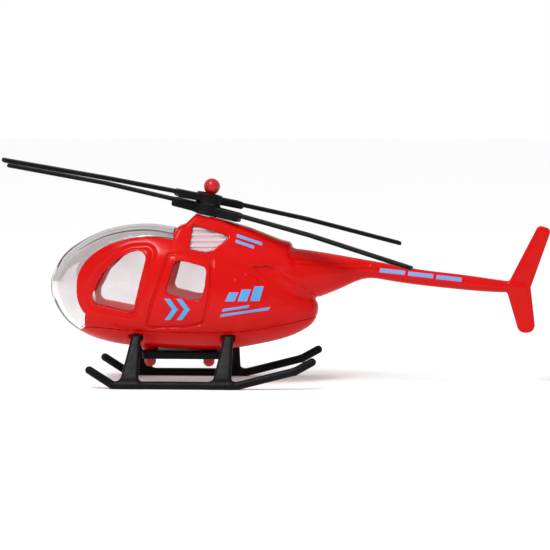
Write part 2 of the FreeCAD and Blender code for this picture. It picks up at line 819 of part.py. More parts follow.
def skid_legs(side):
    """The front and rear legs of one skid with the tongues that lock into the belly pan."""
    sign = "-1" if side == "left" else "1"
    owner = new_body(f"{side}_legs")
    for end in ("front", "rear"):
        aft = f"dims.{end}_leg_aft"
        levels = []
        for level, length, spread in (
            ("dims.skid_axis_height", "dims.leg_foot_length", "dims.skid_spread"),
            ("dims.leg_top_height", "dims.leg_head_length", "dims.leg_top_spread"),
        ):
            sketch = new_sketch(owner, f"{side}_{end}_level_{len(levels)}", "XY_Plane", level)
            low = f"{sign} * {spread} - dims.leg_half_width"
            high = f"{sign} * {spread} + dims.leg_half_width"
            draw_polygon(sketch, rectangle(f"{aft} - {length}", aft, low, high))
            levels.append(sketch)
        leg = owner.newObject("PartDesign::AdditiveLoft", "leg")
        leg.Profile = levels[0]
        leg.Sections = [levels[1]]
        leg.Ruled = True
        owner.Tip = leg
        doc.recompute()
        tongue = new_sketch(owner, f"{side}_{end}_tongue", "XY_Plane", "dims.tongue_bottom")
        inner = f"{sign} * dims.tongue_end"
        outer = f"{sign} * (dims.leg_top_spread + dims.leg_half_width)"
        low, high = (outer, inner) if side == "left" else (inner, outer)
        draw_polygon(tongue, rectangle(f"{aft} - dims.leg_head_length", aft, low, high))
        pad(owner, tongue, "dims.leg_top_height - dims.tongue_bottom")
    return at_nose(owner)


def skid_bar(side):
    """The round skid bar: straight runs between rounded joints, flattened where it stands."""
    spread = "-dims.skid_spread" if side == "left" else "dims.skid_spread"
    parts = []
    for number in range(1, len(SKID_ROUTE) + 1):
        joint = doc.addObject("Part::Sphere", f"{side}_joint_{number}")
        joint.setExpression("Radius", "dims.skid_radius")
        parts.append((joint, number, None))
    for number in range(1, len(SKID_ROUTE)):
        along = f"dims.skid_station_{number + 1} - dims.skid_station_{number}"
        upward = f"dims.skid_height_{number + 1} - dims.skid_height_{number}"
        run = cylinder(f"{side}_run_{number}", "dims.skid_radius", f"hypot({along}; {upward})")
        parts.append((run, number, f"atan2({along}; {upward})"))
    for thing, number, lean in parts:
        turn = "0" if lean is None else lean
        thing.setExpression(
            "Placement",
            "create(<<placement>>; create(<<vector>>;"
            f" dims.nose_x + dims.skid_station_{number}; {spread}; dims.skid_height_{number});"
            f" create(<<rotation>>; 0; {turn}; 0))",
        )
    bar = combine("MultiFuse", f"{side}_bar", *[thing for thing, number, lean in parts])
    below = box(
        f"{side}_ground", "0", "dims.pod_tail_station",
        f"{spread} - dims.ground_block / 2", "dims.ground_block",
        "-dims.ground_block", "dims.ground_block",
    )
    return combine("Cut", f"{side}_flat_bar", bar, below)


def skid_frame(side):
    """One skid bar with its two legs."""
    return combine("MultiFuse", f"{side}_skid_frame", skid_bar(side), skid_legs(side))


def build():
    """Makes every sub-part and returns them."""
    pods = {
        "outer": pod("pod_outer", 0.0),
        "bar": pod("pod_bar", size("bar_inset")),
        "wall": pod("pod_wall", size("wall")),
        "glass_outer": pod("pod_glass_outer", size("wall") + size("glass_gap")),
        "glass_inner": pod("pod_glass_inner", size("wall") + size("glass_gap") + size("glass")),
    }
    roofs = {
        "outer": roof("roof_outer", "0"),
        "rib": roof("roof_rib", "dims.rib_inset"),
        "wall": roof("roof_wall", "dims.wall"),
        "glass_outer": roof("roof_glass_outer", "(dims.wall + dims.glass_gap)"),
        "glass_inner": roof("roof_glass_inner", "(dims.wall + dims.glass_gap + dims.glass)"),
    }
    sub_parts = [
        upper_body(pods, roofs),
        belly_pan(pods),
        canopy(pods),
        belly_plate(),
        rotor_pin(),
        washer("rotor_pin_clip", "dims.clip_radius", "dims.pin_radius + dims.clip_gap",
               "dims.clip_bottom", "dims.clip_thickness"),
        washer("hub_seat_washer", "dims.seat_radius", "dims.bore_radius", "dims.seat_bottom",
               "dims.seat_thickness"),
        washer("rotor_spacer", "dims.spacer_radius", "dims.bore_radius", "dims.spacer_bottom",
               "dims.spacer_thickness"),
        rotor("lower_rotor", "lower"),
        rotor("upper_rotor", "upper"),
    ]
    for end in ("front", "rear"):
        sub_parts.append(push_pin(end))
    for side in ("left", "right"):
        sub_parts.append(skid_frame(side))
    for name, left in (("side", side_glazing(pods)), ("louvre", louvre_glazing(roofs))):
        sub_parts += [left, mirrored(left, f"right_{name}_glazing")]
    return sub_parts


def check(sub_parts):
    """Stops if any object failed or a sub-part isn't one valid solid."""
    for thing in doc.Objects:
        if "Invalid" in thing.State or "Error" in thing.State:
            raise RuntimeError(f"{thing.Name} failed: {thing.State}")
    for thing in sub_parts:
        if thing.Shape.isNull() or not thing.Shape.isValid():
            raise RuntimeError(f"{thing.Label} has no valid shape")
        if len(thing.Shape.Solids) != 1:
            raise RuntimeError(f"{thing.Label} has {len(thing.Shape.Solids)} solids")


fill_sheet()
doc.recompute()
finished = build()
doc.recompute()
check(finished)
os.makedirs("parts", exist_ok=True)
for sub_part in finished:
    sub_part.Shape.exportStep(f"parts/{sub_part.Label}.step")
    solid_box = sub_part.Shape.BoundBox
    print(f"{sub_part.Label}: {sub_part.Shape.Volume:.1f} mm3, {solid_box}")
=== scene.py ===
"""A small red toy helicopter in a plain white studio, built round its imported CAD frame.

Every shape is written as a signed field in millimetres. x is the station (distance aft of the nose), y is
the side (negative is the left) and z is the height. A surface net turns a field into a mesh.
"""

import math

import bpy
import numpy as np
from mathutils import Matrix, Vector


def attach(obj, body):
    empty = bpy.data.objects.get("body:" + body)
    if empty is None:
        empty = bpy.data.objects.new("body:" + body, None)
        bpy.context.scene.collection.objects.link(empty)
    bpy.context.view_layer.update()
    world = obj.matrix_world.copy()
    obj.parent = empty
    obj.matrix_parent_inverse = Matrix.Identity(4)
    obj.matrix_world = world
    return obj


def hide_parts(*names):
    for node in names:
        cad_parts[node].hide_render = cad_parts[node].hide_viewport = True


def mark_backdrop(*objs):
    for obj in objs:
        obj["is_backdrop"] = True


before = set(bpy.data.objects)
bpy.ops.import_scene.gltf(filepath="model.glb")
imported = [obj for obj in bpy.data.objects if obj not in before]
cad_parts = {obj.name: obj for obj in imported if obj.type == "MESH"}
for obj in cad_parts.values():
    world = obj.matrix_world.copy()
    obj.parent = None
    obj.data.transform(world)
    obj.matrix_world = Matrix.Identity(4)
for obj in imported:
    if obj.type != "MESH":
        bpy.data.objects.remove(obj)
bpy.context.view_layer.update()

MM = 0.001
NOSE_X = -71.44
GRADIENT_STEP = 0.02

# ---- Shape tables ----
# Most numbers are the CAD's. The first three nose widths, the fin, the rotors' arms and blades, the line
# between cheeks and canopy and the corners of the openings differ a little, because they were fitted to the
# photo here alone. The door, the window ring, the raised marks, the valley and the crease are only here.

# Cabin pod: station, top height, bottom height, half width.
POD = np.array([
    (0.6, 34.9, 27.4, 2.7), (2.1, 38.0, 24.2, 5.0), (5.0, 41.8, 20.2, 7.6), (9.0, 44.9, 17.0, 9.7),
    (16.0, 48.5, 13.9, 12.1), (24.0, 50.6, 12.3, 13.8), (33.0, 51.1, 11.4, 14.8), (42.0, 49.7, 11.0, 15.1),
    (52.0, 46.8, 10.8, 14.8), (61.0, 43.0, 11.6, 13.5), (70.0, 38.4, 13.3, 11.4), (77.5, 33.6, 15.4, 8.4),
    (82.5, 29.7, 17.9, 5.6), (85.3, 27.0, 20.8, 3.1),
])
POD_TAIL = 86.2
POD_TAIL_HEIGHT = 24.3
POD_NOSE_HEIGHT = 31.0
POD_POWER = 2.4
WALL = 1.2

# Tail boom: station, top height, bottom height, half width.
BOOM = np.array([
    (68.0, 44.2, 24.5, 8.4), (78.0, 43.4, 24.6, 7.8), (86.0, 42.4, 27.6, 6.2), (93.4, 41.2, 30.6, 4.6),
    (101.5, 39.8, 33.8, 2.75), (108.0, 38.7, 33.3, 2.4), (116.0, 37.2, 32.1, 2.2), (132.0, 35.2, 30.4, 2.1),
    (146.0, 33.3, 29.6, 1.65), (152.0, 32.6, 29.8, 1.0),
])

# Side outlines: station, height.
FAIRING = [
    (40.7, 38.0), (40.7, 48.0), (41.9, 50.6), (43.9, 51.3), (47.2, 54.5), (55.0, 52.7), (64.5, 49.9),
    (74.1, 46.1), (77.0, 45.4), (77.7, 44.6), (77.7, 38.0),
]
FAIRING_CAVITY = [
    (42.3, 36.0), (42.3, 48.4), (44.6, 49.9), (47.7, 53.0), (54.7, 51.3), (61.5, 49.2), (61.5, 36.0),
]
FIN = [
    (147.1, 33.3), (156.2, 51.1), (160.4, 49.9), (153.9, 31.2), (155.6, 16.7), (150.2, 16.7), (146.4, 29.6),
]
FIN_TIP_RADIUS = 1.5
FIN_FOOT_RADIUS = 2.5
FIN_SPLIT_HEIGHT = 32.0
FIN_HALF_THICKNESS = 1.1
CANOPY = [
    (-5.0, 5.0), (9.6, 5.0), (9.6, 16.0), (12.0, 17.6), (12.2, 22.5), (40.5, 42.0), (40.5, 60.0),
    (-5.0, 60.0),
]
PAN = [
    (9.75, 4.0), (9.75, 17.0), (11.9, 18.55), (16.7, 18.6), (27.0, 17.7), (43.2, 17.25), (59.7, 17.3),
    (69.9, 18.6), (78.3, 20.2), (88.0, 22.2), (88.0, 4.0),
]
FRONT_WINDOW = [
    (32.9, 43.9), (27.9, 23.4), (15.0, 26.1), (15.0, 29.5), (18.0, 35.7), (22.3, 40.0), (27.0, 42.6),
]
DOOR_WINDOW = [
    (41.3, 40.2), (45.0, 39.8), (51.5, 38.0), (50.9, 32.0), (49.6, 27.6), (45.8, 27.9), (38.3, 29.7),
]
WINDOW_RING = [
    (36.0, 45.4), (29.4, 21.7), (13.2, 24.7), (13.1, 30.2), (16.4, 37.2), (21.4, 42.0), (27.2, 44.8),
]
DOOR = [
    (32.3, 18.7), (33.9, 25.9), (37.1, 35.7), (39.6, 42.0), (45.0, 42.6), (53.1, 40.2), (52.8, 32.0),
    (51.3, 23.5), (50.1, 20.2), (44.7, 19.2),
]
LOUVRE = [(46.5, 51.1), (57.9, 47.6), (57.7, 46.8), (53.3, 43.2), (50.9, 42.6), (45.7, 43.8)]
PANE = [
    (34.2, 44.8), (44.0, 41.6), (52.6, 39.4), (51.2, 26.5), (28.0, 22.6), (13.6, 24.6), (14.0, 31.0),
    (17.5, 37.5), (26.0, 43.8),
]
LOUVRE_CORNER = 0.7
LOUVRE_PITCH = 1.75
# Openings through the red wall: outline, corner radius.
OPENINGS = ((FRONT_WINDOW, 2.4), (DOOR_WINDOW, 1.8), (LOUVRE, LOUVRE_CORNER))

# Half widths where the cheeks end, the canopy ends and the side panes begin, and depths below the skin.
CHEEK_SIDE = 9.7
CANOPY_SIDE = 9.6
PANE_SIDE = 10.0
PANE_TOP_DEPTH = 1.3
CLEAR_DEPTH = 2.1

# Lines pressed in or raised on the red skin: station, height.
RAISED_MARKS = (((64.0, 35.7), (67.2, 34.2)), ((60.8, 33.9), (60.9, 34.0)), ((71.5, 28.4), (75.0, 27.6)))
POD_VALLEY = [(85.8, 28.1), (83.4, 29.4), (79.9, 32.6), (74.5, 36.1), (69.5, 37.9)]
BOOM_CREASE = [(74.4, 39.4), (89.4, 38.6), (102.5, 38.2)]

# The engine fairing's slanted sides: the sizes at their front, and how much they close in over their length.
ROOF_FRONT = 36.0
ROOF_LENGTH = 43.0
ROOF_FOOT_HEIGHT = 38.0
ROOF_TOP_HEIGHT = 59.0
ROOF_FOOT_HALF = 16.2
ROOF_TOP_HALF = 3.6
ROOF_FOOT_NARROWING = 9.0
ROOF_TOP_NARROWING = 0.9
ROOF_DROP = 11.5

# Mast and rotors. Heights are along the mast.
MAST_STATION = 37.5
MAST_TILT = math.radians(13.0)
HUB_RADIUS = 4.2
BORE_RADIUS = 1.27
PIN_RADIUS = 1.2
PIN_BORE_RADIUS = 1.25
PIN_FOOT = 44.0
PIN_TOP = 64.0
BOSS_RADIUS = 2.9
BOSS_FOOT = 46.0
BOSS_TOP = 55.15
BALL_RADIUS = 2.6
BALL_HEIGHT = 64.75
ARM_REACH = 11.5
ROTOR_RADIUS = 71.0
BLADE_KNEE = 36.0
BLADE_HALF_CHORD = 2.3
BLADE_HALF_THICKNESS = 0.74
# Hub bottom, hub top, blade height, sag of the fore blade, sag of the aft blade, turn about the mast.
ROTORS = {
    "lower_rotor": (55.6, 58.9, 58.1, 0.0006, 0.00057, -16.0),
    "upper_rotor": (59.4, 62.05, 61.1, 0.0002, 0.0005, 28.5),
}

# Undercarriage, belly plate and push pins.
SKID_ROUTE = [(14.9, 5.9), (22.3, 1.2), (61.5, 1.2), (79.8, 5.9), (85.2, 8.9)]
PUSH_PINS = {"front": 32.1, "rear": 51.0}
PUSH_HOLE_RADIUS = 1.2
SKID_SPREAD = 20.0
SKID_RADIUS = 1.3
SKID_HEIGHT = 1.2
LEG_AFTS = (30.4, 59.8)
LEG_FOOT_LENGTH = 6.2
LEG_HEAD_LENGTH = 3.0
LEG_NARROWING = 3.2
LEG_RISE = 15.0
LEG_SPLAY = 8.9
LEG_TOP = 16.2
TONGUE_BOTTOM = 14.4
PLATE_FRONT = 30.0
PLATE_REAR = 55.2
PLATE_HALF_WIDTH = 5.6
PLATE_MIDDLE_HEIGHT = 9.3
PLATE_HALF_THICKNESS = 1.3


# ---- Field tools ----


def spline(knots, values):
    """A natural cubic through the knots that runs on straight past its ends, with its slope."""
    knots = np.asarray(knots, float)
    values = np.asarray(values, float)
    count = len(knots)
    gap = np.diff(knots)
    slope = np.diff(values) / gap
    system = np.eye(count)
    right = np.zeros(count)
    for row in range(1, count - 1):
        system[row, row - 1:row + 2] = gap[row - 1], 2 * (gap[row - 1] + gap[row]), gap[row]
        right[row] = 6 * (slope[row] - slope[row - 1])
    bend = np.linalg.solve(system, right)

    def value_and_slope(x):
        held = np.clip(x, knots[0], knots[-1])
        cell = np.clip(np.searchsorted(knots, held) - 1, 0, count - 2)
        along = held - knots[cell]
        first = slope[cell] - gap[cell] * (2 * bend[cell] + bend[cell + 1]) / 6
        third = (bend[cell + 1] - bend[cell]) / gap[cell]
        value = values[cell] + along * (first + along * (bend[cell] / 2 + along * third / 6))
        rate = first + along * (bend[cell] + along * third / 2)
        return value + (x - held) * rate, rate

    return value_and_slope


def smooth_max(a, b, blend):
    """The larger of two fields with a rounded meeting line."""
    share = np.maximum(blend - np.abs(a - b), 0.0) / blend
    return np.maximum(a, b) + share * share * blend * 0.25


def smooth_min(a, b, blend):
    """The smaller of two fields with a rounded meeting line."""
    return -smooth_max(-a, -b, blend)


def segment_distance(x, z, start, end):
    """Distance in side view to a straight run."""
    run = np.subtract(end, start)
    share = ((x - start[0]) * run[0] + (z - start[1]) * run[1]) / (run @ run)
    share = np.clip(share, 0.0, 1.0)
    return np.hypot(x - start[0] - share * run[0], z - start[1] - share * run[1])


def route_distance(x, z, route):
    """Distance in side view to an open route of straight runs."""
    return np.minimum.reduce([segment_distance(x, z, start, end) for start, end in zip(route, route[1:])])


def outline(x, z, corners):
    """Signed side-view distance to a closed outline, negative inside."""
    nearest = None
    inside = np.zeros(np.broadcast(x, z).shape, bool)
    for start, end in zip(corners, corners[1:] + corners[:1]):
        distance = segment_distance(x, z, start, end)
        nearest = distance if nearest is None else np.minimum(nearest, distance)
        crosses = (start[1] > z) != (end[1] > z)
        if start[1] != end[1]:
            reach = start[0] + (z - start[1]) * (end[0] - start[0]) / (end[1] - start[1])
            inside ^= crosses & (x < reach)
    return np.where(inside, -nearest, nearest)


def drawn_in(corners, amount):
    """The same outline with every side moved inward."""
    points = np.array(corners, float)
    before = points - np.roll(points, 1, axis=0)
    after = np.roll(before, -1, axis=0)
    area = np.sum(points[:, 0] * np.roll(points[:, 1], -1) - points[:, 1] * np.roll(points[:, 0], -1))
    made = []
    for point, first, second in zip(points, before, after):
        first = first / np.hypot(*first)
        second = second / np.hypot(*second)
        inward = np.array([-first[1] - second[1], first[0] + second[0]]) * np.sign(area)
        inward = inward / np.hypot(*inward)
        share = np.sign(area) * (inward[1] * first[0] - inward[0] * first[1])
        made.append(tuple(point + inward * amount / share))
    return made


def rounded_outline(x, z, corners, radius):
    """An outline with rounded corners."""
    return outline(x, z, drawn_in(corners, radius)) - radius


def box_field(x, y, z, low, high, radius=0.0):
    """A box with rounded edges."""
    gaps = []
    for value, a, b in zip((x, y, z), low, high):
        gaps.append(np.abs(value - (a + b) / 2) - (b - a) / 2 + radius)
    outer = np.sqrt(sum(np.maximum(gap, 0.0) ** 2 for gap in gaps))
    inner = np.minimum(np.maximum(np.maximum(gaps[0], gaps[1]), gaps[2]), 0.0)
    return outer + inner - radius


def capsule(x, y, z, start, end, radius):
    """A round bar with ball ends."""
    run = np.subtract(end, start)
    share = ((x - start[0]) * run[0] + (y - start[1]) * run[1] + (z - start[2]) * run[2]) / (run @ run)
    share = np.clip(share, 0.0, 1.0)
    gaps = [value - a - share * step for value, a, step in zip((x, y, z), start, run)]
    return np.sqrt(gaps[0] ** 2 + gaps[1] ** 2 + gaps[2] ** 2) - radius


def disc(x, y, z, radius, low, high, edge):
    """An upright cylinder with rounded rims."""
    aside = np.hypot(x, y) - radius + edge
    upward = np.abs(z - (low + high) / 2) - (high - low) / 2 + edge
    outer = np.hypot(np.maximum(aside, 0.0), np.maximum(upward, 0.0))
    return outer + np.minimum(np.maximum(aside, upward), 0.0) - edge


def line_bump(distance, width):
    """A soft ridge profile about a line."""
    return np.exp(-((distance / width) ** 2))


# ---- Body fields ----

POD_KNOTS = np.concatenate(([0.0], POD[:, 0], [POD_TAIL]))
POD_RISE = (POD[:, 1] - POD[:, 2]) / 2
pod_rise_squared = spline(POD_KNOTS, np.concatenate(([0.0], POD_RISE ** 2, [0.0])))
pod_middle = spline(
    POD_KNOTS, np.concatenate(([POD_NOSE_HEIGHT], (POD[:, 1] + POD[:, 2]) / 2, [POD_TAIL_HEIGHT]))
)
pod_aspect = spline(POD[:, 0], POD[:, 3] / POD_RISE)
boom_middle = spline(BOOM[:, 0], (BOOM[:, 1] + BOOM[:, 2]) / 2)
boom_rise = spline(BOOM[:, 0], (BOOM[:, 1] - BOOM[:, 2]) / 2)
boom_half = spline(BOOM[:, 0], BOOM[:, 3])


def pod_field(x, y, z):
    """The egg-shaped cabin, with squared-off oval sections."""
    size, size_slope = pod_rise_squared(x)
    middle, middle_slope = pod_middle(x)
    aspect, aspect_slope = pod_aspect(np.clip(x, POD[0, 0], POD[-1, 0]))
    aspect_slope = np.where((x < POD[0, 0]) | (x > POD[-1, 0]), 0.0, aspect_slope)
    across = np.abs(y) / aspect + 1e-6
    upward = np.abs(z - middle) + 1e-6
    total = across ** POD_POWER + upward ** POD_POWER
    field = total ** (2 / POD_POWER) - size
    pull = 2 * total ** (2 / POD_POWER - 1)
    by_across = pull * across ** (POD_POWER - 1)
    by_upward = pull * upward ** (POD_POWER - 1)
    by_x = -by_across * across * aspect_slope / aspect - by_upward * np.sign(z - middle) * middle_slope
    by_x = by_x - size_slope
    return field / np.sqrt((by_across / aspect) ** 2 + by_upward ** 2 + by_x ** 2 + 1e-3)


def boom_field(x, y, z):
    """The thin tail boom and its cone at the root."""
    middle = boom_middle(x)[0]
    rise = boom_rise(x)[0]
    half = boom_half(x)[0]
    ratio = np.sqrt((y / half) ** 2 + ((z - middle) / rise) ** 2) + 1e-6
    pull = np.sqrt((y / half ** 2) ** 2 + ((z - middle) / rise ** 2) ** 2) / ratio + 1e-6
    around = (ratio - 1) / pull
    return smooth_max(around, np.maximum(BOOM[0, 0] - x, x - BOOM[-1, 0]), 0.6)


def roof_wall(x, y, z, inset):
    """The engine fairing's slanted sides: they close in upward and aft."""
    share = (x - ROOF_FRONT) / ROOF_LENGTH
    foot = ROOF_FOOT_HALF - ROOF_FOOT_NARROWING * share - inset
    top = ROOF_TOP_HALF - ROOF_TOP_NARROWING * share - inset
    height = ROOF_TOP_HEIGHT - ROOF_DROP * share
    lean = (top - foot) / (height - ROOF_FOOT_HEIGHT)
    return (np.abs(y) - foot - lean * (z - ROOF_FOOT_HEIGHT)) / np.sqrt(1 + lean ** 2)


def fairing_field(x, y, z, corners=FAIRING, inset=0.0, edge=1.6):
    """The engine fairing behind the canopy."""
    return smooth_max(outline(x, z, corners), roof_wall(x, y, z, inset), edge)


def fin_field(x, y, z):
    """The flat forked tail fin with softened edges."""
    upper = rounded_outline(x, z, FIN, FIN_TIP_RADIUS)
    lower = rounded_outline(x, z, FIN, FIN_FOOT_RADIUS)
    shape = np.where(z > FIN_SPLIT_HEIGHT, upper, lower)
    rim = 0.1 * line_bump(shape + 0.75, 0.3)
    return smooth_max(shape + 0.03, np.abs(y) - FIN_HALF_THICKNESS + rim, 0.6)


def engraved_pod(x, y, z):
    """The pod with its door and window lines pressed in and three small raised marks."""
    field = pod_field(x, y, z)
    field = field + 0.6 * line_bump(rounded_outline(x, z, DOOR, 0.8), 0.42)
    field = field + 0.62 * line_bump(rounded_outline(x, z, WINDOW_RING, 3.0) + 0.6, 0.95)
    for start, end in RAISED_MARKS:
        field = field - 0.3 * line_bump(segment_distance(x, z, start, end), 0.4)
    return field


def outer_solid(x, y, z):
    """The whole red outside: pod, fairing, boom and fin grown together."""
    roof = smooth_min(fairing_field(x, y, z), boom_field(x, y, z), 1.6)
    solid = smooth_min(engraved_pod(x, y, z), roof, 0.7)
    solid = solid + 0.35 * line_bump(route_distance(x, z, POD_VALLEY), 0.6)
    solid = solid + 0.16 * line_bump(route_distance(x, z, BOOM_CREASE), 0.45)
    return smooth_min(solid, fin_field(x, y, z), 0.8)


def mast_place(x, y, z):
    """Coordinates in the leaning mast's own frame, its axis along the third."""
    along = x - MAST_STATION
    return (
        along * math.cos(MAST_TILT) - z * math.sin(MAST_TILT),
        y,
        along * math.sin(MAST_TILT) + z * math.cos(MAST_TILT),
    )


def upper_body_field(x, y, z):
    """Cabin walls, fairing, boom and fin in one casting, hollow where the cabin and the engine bay are."""
    cavity = np.minimum(
        pod_field(x, y, z) + WALL, fairing_field(x, y, z, FAIRING_CAVITY, WALL, 0.4)
    )
    body = np.maximum(outer_solid(x, y, z), -cavity)
    for corners, radius in OPENINGS:
        body = smooth_max(body, -rounded_outline(x, z, corners, radius), 0.5)
    nose = np.maximum(outline(x, z, CANOPY), np.abs(y) - CHEEK_SIDE)
    body = smooth_max(body, -nose, 0.35)
    body = smooth_max(body, -outline(x, z, PAN), 0.2)
    a, b, c = mast_place(x, y, z)
    body = np.minimum(body, disc(a, b, c, BOSS_RADIUS, BOSS_FOOT, BOSS_TOP, 0.1))
    for station in PUSH_PINS.values():
        bar = box_field(x, y, z, (station - 2.7, -16.0, 18.3), (station + 2.7, 16.0, 22.2), 0.2)
        body = np.minimum(body, np.maximum(bar, pod_field(x, y, z) + 0.6))
        hole = PUSH_HOLE_RADIUS - np.hypot(x - station, y) - np.maximum(z - 22.0, 0.0)
        body = np.maximum(body, hole)
    body = np.maximum(body, PIN_BORE_RADIUS - np.hypot(a, b))
    return np.maximum(body, -disc(a, b, c, 3.4, BOSS_TOP, 60.0, 0.0))


def belly_pan_field(x, y, z):
    """The red belly shell with its leg pockets."""
    pod = pod_field(x, y, z)
    stock = np.maximum(pod, -(pod + WALL))
    pockets = None
    for aft in LEG_AFTS:
        station = aft - LEG_HEAD_LENGTH
        back = box_field(x, np.abs(y), z, (station - 2.2, 7.5, 7.0), (station + 4.35, 20.0, 17.5), 0.2)
        stock = np.minimum(stock, np.maximum(back, pod))
        pocket = box_field(x, np.abs(y), z, (station - 1.1, 8.6, 4.0), (station + 3.25, 20.0, 16.4), 0.2)
        slot = box_field(x, np.abs(y), z, (station - 0.15, 3.4, 14.25), (station + 3.15, 20.0, 16.35), 0.0)
        both = np.minimum(pocket, slot)
        pockets = both if pockets is None else np.minimum(pockets, both)
    for station in PUSH_PINS.values():
        stock = np.minimum(stock, disc(x - station, y, z, 2.7, 10.7, 18.0, 0.2))
    lower = smooth_max(stock, outline(x, z + 0.06, PAN), 0.15)
    lower = smooth_max(lower, -pockets, 0.4)
    for station in PUSH_PINS.values():
        lower = np.maximum(lower, PUSH_HOLE_RADIUS - np.hypot(x - station, y))
    return lower


def canopy_field(x, y, z):
    """The clear bubble between the cabin sides."""
    pod = pod_field(x, y, z)
    shell = np.maximum(pod, -(pod + CLEAR_DEPTH))
    space = np.maximum(outline(x, z, CANOPY), np.abs(y) - CANOPY_SIDE)
    shell = smooth_max(shell, space, 0.3)
    return smooth_max(shell, -outline(x, z, PAN), 0.3)


def side_pane_field(x, y, z):
    """One clear pane behind the front and door windows."""
    pod = pod_field(x, y, z)
    layer = np.maximum(pod + PANE_TOP_DEPTH, -(pod + CLEAR_DEPTH))
    layer = np.maximum(layer, outline(x, z, PANE))
    return np.maximum(layer, PANE_SIDE - np.abs(y))


def louvre_field(x, y, z):
    """A clear insert with sloping ribs behind a louvre opening."""
    wall = roof_wall(x, y, z, 0.0)
    backing = np.maximum(wall + PANE_TOP_DEPTH, -(wall + CLEAR_DEPTH))
    backing = np.maximum(backing, outline(x, z, LOUVRE) - 0.2)
    ribs = np.maximum(wall + 0.4, -(wall + 1.5))
    phase = np.mod(z - 43.7, LOUVRE_PITCH) - LOUVRE_PITCH / 2
    ribs = smooth_max(ribs, np.abs(phase) - 0.45, 0.3)
    ribs = np.maximum(ribs, rounded_outline(x, z, LOUVRE, LOUVRE_CORNER) + 0.15)
    return smooth_min(backing, ribs, 0.3)


# ---- Undercarriage, plate and pins ----


def skid_frame_field(x, y, z):
    """The left or right skid: a bent round bar with two splayed legs. It is drawn for positive y."""
    frame_field = None
    joints = [(station, SKID_SPREAD, height) for station, height in SKID_ROUTE]
    for start, end in zip(joints, joints[1:]):
        run = capsule(x, y, z, start, end, SKID_RADIUS)
        frame_field = run if frame_field is None else smooth_min(frame_field, run, 0.3)
    for aft in LEG_AFTS:
        share = np.clip((z - SKID_HEIGHT) / LEG_RISE, 0.0, 1.0)
        length = LEG_FOOT_LENGTH - LEG_NARROWING * share
        side = SKID_SPREAD - LEG_SPLAY * share
        fore_aft = np.abs(x - aft + length / 2) - length / 2
        across = (np.abs(y - side) - 1.1) * 0.86
        leg = smooth_max(fore_aft, across, 1.1)
        leg = smooth_max(leg, np.maximum(SKID_HEIGHT - z, z - LEG_TOP), 0.4)
        frame_field = smooth_min(frame_field, leg, 1.6)
        tongue_low = (aft - LEG_HEAD_LENGTH, 4.0, TONGUE_BOTTOM)
        tongue = box_field(x, y, z, tongue_low, (aft, 12.2, LEG_TOP), 0.15)
        frame_field = np.minimum(frame_field, tongue)
    return smooth_max(frame_field, -z, 0.15)


def belly_plate_field(x, y, z):
    """The black plate with rounded corners and two pin holes."""
    plan_low = (PLATE_FRONT, -PLATE_HALF_WIDTH, -9.0)
    plan_high = (PLATE_REAR, PLATE_HALF_WIDTH, 9.0)
    plan = box_field(x, y, 0.0 * z, plan_low, plan_high, 1.2)
    plate = smooth_max(plan, np.abs(z - PLATE_MIDDLE_HEIGHT) - PLATE_HALF_THICKNESS, 0.8)
    for station in PUSH_PINS.values():
        plate = smooth_max(plate, PUSH_HOLE_RADIUS - np.hypot(x - station, y), 0.2)
    return plate


def push_pin_field(x, y, z):
    """A dome-headed pin at station 0."""
    dome = np.sqrt(x ** 2 + y ** 2 + np.minimum(z - 7.0, 0.0) ** 2) - 1.85
    dome = smooth_max(dome, z - 7.95, 0.15)
    return np.minimum(dome, disc(x, y, z, 1.1, 6.0, 21.8, 0.2))


def rotor_pin_field(x, y, z):
    """The ball-headed pin, drawn in the mast's own frame."""
    ball = np.sqrt(x ** 2 + y ** 2 + (z - BALL_HEIGHT) ** 2) - BALL_RADIUS
    ball = ball + 0.05 * line_bump(z - PIN_TOP, 0.16)
    return smooth_min(ball, disc(x, y, z, PIN_RADIUS, PIN_FOOT, PIN_TOP, 0.2), 0.5)


def rotor_field(hub_low, hub_high, blade_height, fore_sag, aft_sag):
    """A hub, two thick arms and two thin sagging blades along x, drawn in the mast's own frame."""

    def field(x, y, z):
        reach = np.abs(x)
        hub = disc(x, y, z, HUB_RADIUS, hub_low, hub_high, 0.25)
        level = (z - hub_low) / (hub_high - hub_low)
        for line in (0.3, 0.7):
            hub = hub + 0.2 * line_bump((level - line) * (hub_high - hub_low), 0.2)
        collar = disc(x, y, z, HUB_RADIUS - 0.1, hub_high - 1.0, hub_high + 0.35, 0.15)
        hub = np.minimum(hub, np.maximum(collar, 3.15 - np.hypot(x, y)))
        arm = box_field(reach, y, z, (-1.0, -2.5, hub_low + 0.1), (ARM_REACH, 2.5, hub_high - 0.15), 0.7)
        sag = np.where(x < 0.0, fore_sag, aft_sag)
        knee = np.maximum(reach - BLADE_KNEE, 0.0) / (ROTOR_RADIUS - BLADE_KNEE)
        beyond = BLADE_KNEE ** 2 + knee * (ROTOR_RADIUS ** 2 - BLADE_KNEE ** 2)
        bowed = np.where(reach < BLADE_KNEE, reach * BLADE_KNEE, beyond)
        centre = blade_height - sag * bowed
        chord = y / BLADE_HALF_CHORD
        half = BLADE_HALF_THICKNESS * (1 - 0.28 * chord ** 2)
        plan_low = (-5.0, -BLADE_HALF_CHORD, -9.0)
        plan_high = (ROTOR_RADIUS - 0.08, BLADE_HALF_CHORD, 9.0)
        tip = box_field(reach, y, 0.0 * z, plan_low, plan_high, 1.1)
        blade = smooth_max(tip, np.abs(z - centre) - half, 0.5)
        rotor = smooth_min(smooth_min(hub, arm, 0.3), blade, 0.4)
        return smooth_max(rotor, BORE_RADIUS - np.hypot(x, y), 0.15)

    return field


# ---- Meshing ----


